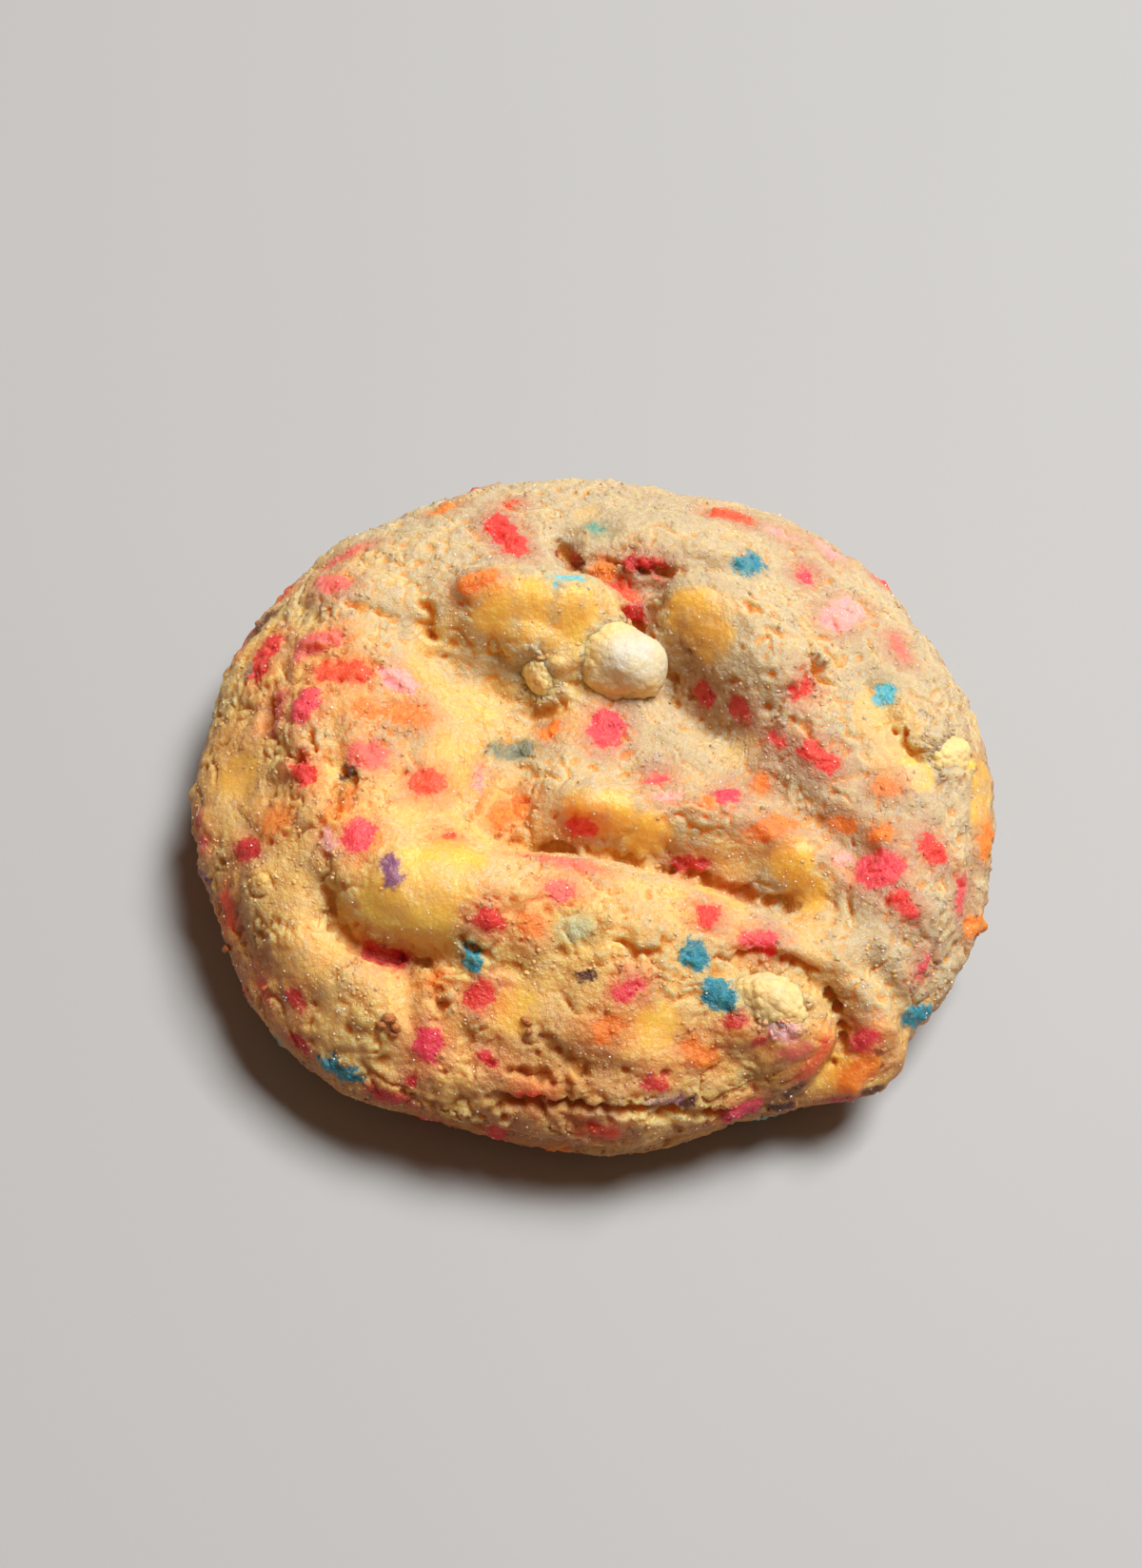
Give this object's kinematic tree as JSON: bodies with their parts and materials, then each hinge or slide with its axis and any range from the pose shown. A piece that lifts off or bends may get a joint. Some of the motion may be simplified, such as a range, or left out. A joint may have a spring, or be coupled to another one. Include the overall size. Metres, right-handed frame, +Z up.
{
  "type": "sprinkle sugar cookie",
  "caption": "Thick soft sugar cookie, an uneven flattened round with a sunken folded middle, rainbow sprinkles baked into its skin and white chocolate chips showing.",
  "frame": {"origin": "middle of the flat base it rests on, under the middle of the cookie's box in plan", "axes": "+Z up out of the top, +X along the widest way, -Y towards the side with the lowest flank, nearest the viewer"},
  "size_m": [0.0858, 0.0792, 0.0243],
  "materials": {
    "baked_dough": "matte, crumbly, lightly browned sugar dough",
    "white_chocolate": "smooth, waxy ivory"
  },
  "bodies": {
    "root": {"dough": "baked_dough", "white_chip_centre": "white_chocolate", "white_chip_left": "white_chocolate", "white_chip_rim": "white_chocolate", "white_chip_front": "white_chocolate"}
  },
  "joints": []
}
